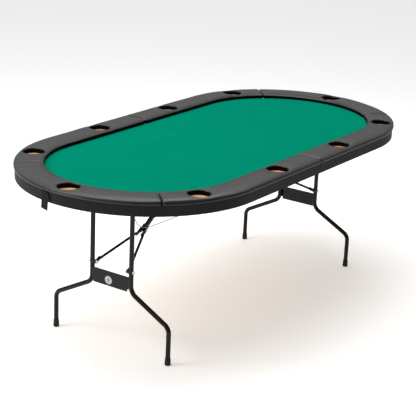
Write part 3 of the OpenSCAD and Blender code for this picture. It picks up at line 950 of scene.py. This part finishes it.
def make_wire(side, material):
    """The spring wire over a brace joint: a bail, two long legs and bent-in pivots."""
    curve = bpy.data.curves.new(f"{side}_spring_wire", "CURVE")
    curve.dimensions = "3D"
    spline = curve.splines.new("POLY")
    smooth = rounded_route(wire_route(side), WIRE_BEND * 0.9)
    spline.points.add(len(smooth) - 1)
    for point, p in zip(spline.points, smooth):
        point.co = (p.x * SIDES[side], p.y, p.z, 1)
    curve.bevel_depth = WIRE_R
    curve.bevel_resolution = 5
    curve.use_fill_caps = True
    curve.materials.append(material)
    temporary = bpy.data.objects.new(f"{side}_wire_curve", curve)
    bpy.context.scene.collection.objects.link(temporary)
    mesh = bpy.data.meshes.new_from_object(temporary.evaluated_get(bpy.context.evaluated_depsgraph_get()))
    bpy.data.objects.remove(temporary)
    piece = bpy.data.objects.new(f"{side}_spring_wire", mesh)
    bpy.context.scene.collection.objects.link(piece)
    mesh.polygons.foreach_set("use_smooth", [True] * len(mesh.polygons))
    bm = bmesh.new()
    bm.from_mesh(mesh)
    bmesh.ops.remove_doubles(bm, verts=bm.verts, dist=SAME_PLACE)
    bm.to_mesh(mesh)
    bm.free()
    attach(piece, f"{side}_wire_bail")
    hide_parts(f"{side}_brace_wire")


def rounded_route(points, radius, steps=6):
    """The route with each corner replaced by a short curve. A nearly straight corner is kept."""
    made = [points[0]]
    for before, corner, after in zip(points, points[1:], points[2:]):
        a, b = before - corner, after - corner
        if a.angle(b) > math.radians(176):
            made.append(corner)
            continue
        reach = min(radius, a.length * 0.48, b.length * 0.48)
        p, q = corner + a.normalized() * reach, corner + b.normalized() * reach
        for k in range(steps + 1):
            t = k / steps
            made.append(p * (1 - t) ** 2 + corner * 2 * t * (1 - t) + q * t**2)
    made.append(points[-1])
    return made


# ---------------------------------------------------------------- strap and patch, in millimetres
SKIRT_R = 528.5
STRAP_ANGLE = math.radians(180 - 8)
STRAP_W = 38.0
STRAP_T = 1.6
FASTENED_W = STRAP_W * 0.84
FASTENED_L = 41
FASTENED_TILT = math.radians(25)
FASTENED_TOP = (2.0, 735.0)  # across the skirt from the hanging strand, and height
RIB_HEIGHT = 0.16
YARN_HEIGHT = 0.07
PATCH_COLUMNS, PATCH_ROWS = 60, 36
PATCH_T = 1.25
PATCH_STITCH = (0.86, 0.93)  # the stitched border, as shares of the way from the middle to the edge


def strap_point(out, across, z):
    """A point beside the near end's skirt: out from its face, across it, at height z."""
    r = SKIRT_R + out
    a = STRAP_ANGLE + across / SKIRT_R
    return (-END_X + r * math.cos(a)) * MM, r * math.sin(a) * MM, z * MM


def webbing(name, route, width, material, ribs):
    """A woven strap: route is [(out, across, z, lean)], lean being the turn of its width from level."""
    rings = []
    count = 4 * ribs + 1
    for k, (out, across, z, lean) in enumerate(route):
        ring = []
        for face in (1, -1):
            order = range(count) if face == 1 else range(count - 1, -1, -1)
            for j in order:
                t = j / (count - 1) * 2 - 1
                rib = RIB_HEIGHT * math.cos(t * ribs * math.pi * 2) + YARN_HEIGHT * math.cos(k * math.pi)
                edge = 1 - 0.55 * abs(t) ** 12
                off = out + face * (STRAP_T / 2 * edge + rib * edge * 0.6)
                half = t * width / 2
                ring.append(strap_point(off, across + half * math.cos(lean), z + half * math.sin(lean)))
        rings.append(ring)
    n = len(rings[0])
    vertices = [p for ring in rings for p in ring]
    faces = []
    for k in range(len(rings) - 1):
        for j in range(n):
            m = (j + 1) % n
            faces.append((k * n + j, k * n + m, (k + 1) * n + m, (k + 1) * n + j))
    for k in (0, len(rings) - 1):
        half = n // 2
        for j in range(half - 1):
            a, b = k * n + j, k * n + j + 1
            faces.append((a, b, k * n + n - 2 - j, k * n + n - 1 - j))
    return add_piece(name, vertices, faces, material, "near_half")


def route_between(stops, step=1.6):
    """Points about every step millimetres on straight lines through the stops."""
    made = []
    for a, b in zip(stops, stops[1:]):
        length = math.dist(a[:3], b[:3])
        n = max(2, round(length / step))
        for k in range(n):
            t = k / n
            made.append(tuple(a[i] + (b[i] - a[i]) * t for i in range(4)))
    made.append(stops[-1])
    return made


def make_strap(material):
    """The strap's hanging strand, and behind it the strand that is fastened under the table."""
    hang = route_between(
        [(1.3, 0, 735.5, 0.0), (1.3, 0, 700, 0.0), (1.8, -0.5, 680, -0.05), (2.6, -1.5, 661.5, -0.12)]
    )
    piece = webbing("strap_hanging", hang, STRAP_W, material, ribs=9)
    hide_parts("closure_strap")
    across, top = FASTENED_TOP
    stops = []
    for share in (0, 0.15, 0.33, 0.66, 1):
        run = FASTENED_L * share
        lean = FASTENED_TILT * min(1, 3 * share)
        y, z = across + run * math.sin(FASTENED_TILT), top - run * math.cos(FASTENED_TILT)
        stops.append((3.3 + 0.4 * share, y, z, lean))
    piece = webbing("strap_fastened", route_between(stops), FASTENED_W, material, ribs=8)


def make_patch(material):
    """Soft half of a hook-and-loop fastener on the far skirt, with a raised stitched border."""
    low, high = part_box("strap_patch")
    columns, rows = PATCH_COLUMNS, PATCH_ROWS
    vertices, faces = [], []
    centre = (low + high) / 2
    size_y, size_z = high.y - low.y, high.z - low.z
    for layer in (0, 1):
        for i in range(columns + 1):
            for j in range(rows + 1):
                u, v = i / columns * 2 - 1, j / rows * 2 - 1
                y, z = centre.y + u * size_y / 2, centre.z + v * size_z / 2
                border = max(abs(u), 1 - (1 - abs(v)) * size_z / size_y)
                base = math.sqrt((SKIRT_R * MM) ** 2 - y**2) + END_X * MM
                loop = 0.16 * noise.noise(Vector((i * 0.9, j * 0.9, 1.7)))
                stitched = PATCH_STITCH[0] < border < PATCH_STITCH[1]
                stitch = 0.25 * math.cos(max(i, j) * math.pi) if stitched else 0.0
                thick = (PATCH_T + loop - stitch) * (1 - 0.6 * border**14) if layer == 0 else 0.05
                vertices.append((base + thick * MM, y, z))
    n = rows + 1
    other = (columns + 1) * n
    for layer in (0, 1):
        for i in range(columns):
            for j in range(rows):
                a = layer * other + i * n + j
                faces.append((a, a + n, a + n + 1, a + 1))
    for i in range(columns):
        for j in (0, rows):
            a = i * n + j
            faces.append((a, a + n, a + n + other, a + other))
    for j in range(rows):
        for i in (0, columns):
            a = i * n + j
            faces.append((a, a + 1, a + 1 + other, a + other))
    piece = add_piece("loop_patch", vertices, faces, material, "far_half")
    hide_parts("strap_patch")


# ---------------------------------------------------------------- badge, in metres
BADGE_RADII = (0.0198, 0.0187)
BADGE_SEGMENTS = 72
BADGE_RIM_SEGMENTS = 14
BADGE_FIELD = (  # (share of the radius, distance out from the leg panel)
    (0.2, 0.0001),
    (0.88, 0.0001),
    (0.88, 0.0009),
    (0.80, 0.00125),
    (0.6, 0.0014),
    (0.3, 0.00155),
    (0.12, 0.0016),
)
LOZENGE_RADII = (0.0098, 0.0115)
LOZENGE_SEGMENTS = 48
LOZENGE_LEVELS = ((1.0, 0.0012), (1.0, 0.0019), (0.82, 0.0022))  # (size, distance out)


def ring_faces(levels, around, closed=False):
    """Quads between rings of vertices, one ring after another, and back to the first if closed."""
    faces = []
    for i in range(levels if closed else levels - 1):
        a, b = i * around, (i + 1) % levels * around
        for k in range(around):
            m = (k + 1) % around
            faces.append((a + k, a + m, b + m, b + k))
    return faces


def badge_ring(share, out, back, centre):
    made = []
    for k in range(BADGE_SEGMENTS):
        a = 2 * math.pi * k / BADGE_SEGMENTS
        y = centre.y + share * BADGE_RADII[0] * math.cos(a)
        made.append((back - out, y, centre.z + share * BADGE_RADII[1] * math.sin(a)))
    return made


def make_badge(enamel, metal):
    """A plain oval badge: domed enamel field in a rolled metal rim, with a raised lozenge."""
    low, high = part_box("badge")
    centre, back = (low + high) / 2, high.x
    around = BADGE_SEGMENTS

    vertices = []
    for k in range(BADGE_RIM_SEGMENTS):
        t = 2 * math.pi * k / BADGE_RIM_SEGMENTS
        share, out = 0.93 + 0.07 * math.cos(t), 0.001 + 0.001 * math.sin(t)
        vertices += badge_ring(share, out, back, centre)
    faces = ring_faces(BADGE_RIM_SEGMENTS, around, closed=True)
    add_piece("badge_rim", vertices, faces, metal, "near_leg_frame")

    vertices = [p for share, out in BADGE_FIELD for p in badge_ring(share, out, back, centre)]
    last = len(BADGE_FIELD) - 1
    faces = ring_faces(len(BADGE_FIELD), around)
    for ring in (0, last):
        hub = len(vertices)
        vertices.append((back - BADGE_FIELD[ring][1], centre.y, centre.z))
        faces += [(hub, ring * around + k, ring * around + (k + 1) % around) for k in range(around)]
    piece = add_piece("badge_field", vertices, faces, enamel, "near_leg_frame")
    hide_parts("badge")

    vertices = []
    for scale, out in LOZENGE_LEVELS:
        for k in range(LOZENGE_SEGMENTS):
            a = 2 * math.pi * k / LOZENGE_SEGMENTS
            r = scale * (1 + 0.16 * math.cos(4 * a)) / (abs(math.cos(a)) + abs(math.sin(a)))
            y = centre.y + LOZENGE_RADII[0] * r * math.cos(a)
            vertices.append((back - out, y, centre.z + LOZENGE_RADII[1] * r * math.sin(a)))
    faces = ring_faces(len(LOZENGE_LEVELS), LOZENGE_SEGMENTS)
    faces.append(tuple(range(LOZENGE_SEGMENTS)))
    faces.append(tuple(range(len(vertices) - LOZENGE_SEGMENTS, len(vertices))))
    add_piece("badge_lozenge", vertices, faces, metal, "near_leg_frame")


# ---------------------------------------------------------------- CAD nodes
BEVEL_WIDTHS = {
    "skirt": 0.0012,
    "deck_board": 0.0008,
    "fold_batten": 0.0015,
    "leg_panel": 0.0004,
    "foot_caps": 0.0006,
}
BEVEL_SEGMENTS = 2
BEVEL_ANGLE = math.radians(40)


def dress_cad_nodes(materials):
    """Every CAD node gets its slot's material, and the larger ones a small bevel on their edges."""
    slots = {row["node"]: row["material_slot"] for row in frame["record"]["subparts"]}
    for name, node in NODES.items():
        node.data.materials.clear()
        node.data.materials.append(materials[slots[name]])
        kind = name.removeprefix("near_").removeprefix("far_")
        if kind in BEVEL_WIDTHS:
            bevel = node.modifiers.new("bevel", "BEVEL")
            bevel.width = BEVEL_WIDTHS[kind]
            bevel.segments = BEVEL_SEGMENTS
            bevel.limit_method = "ANGLE"
            bevel.angle_limit = BEVEL_ANGLE


make_camera()
make_studio()
MATERIALS = make_materials()
make_pads(MATERIALS)
for table_side in SIDES:
    make_felt(table_side, MATERIALS["felt"])
    make_wire(table_side, MATERIALS["wire_steel"])
make_strap(MATERIALS["webbing"])
make_patch(MATERIALS["webbing"])
make_badge(MATERIALS["badge_enamel"], MATERIALS["badge_metal"])
dress_cad_nodes(MATERIALS)
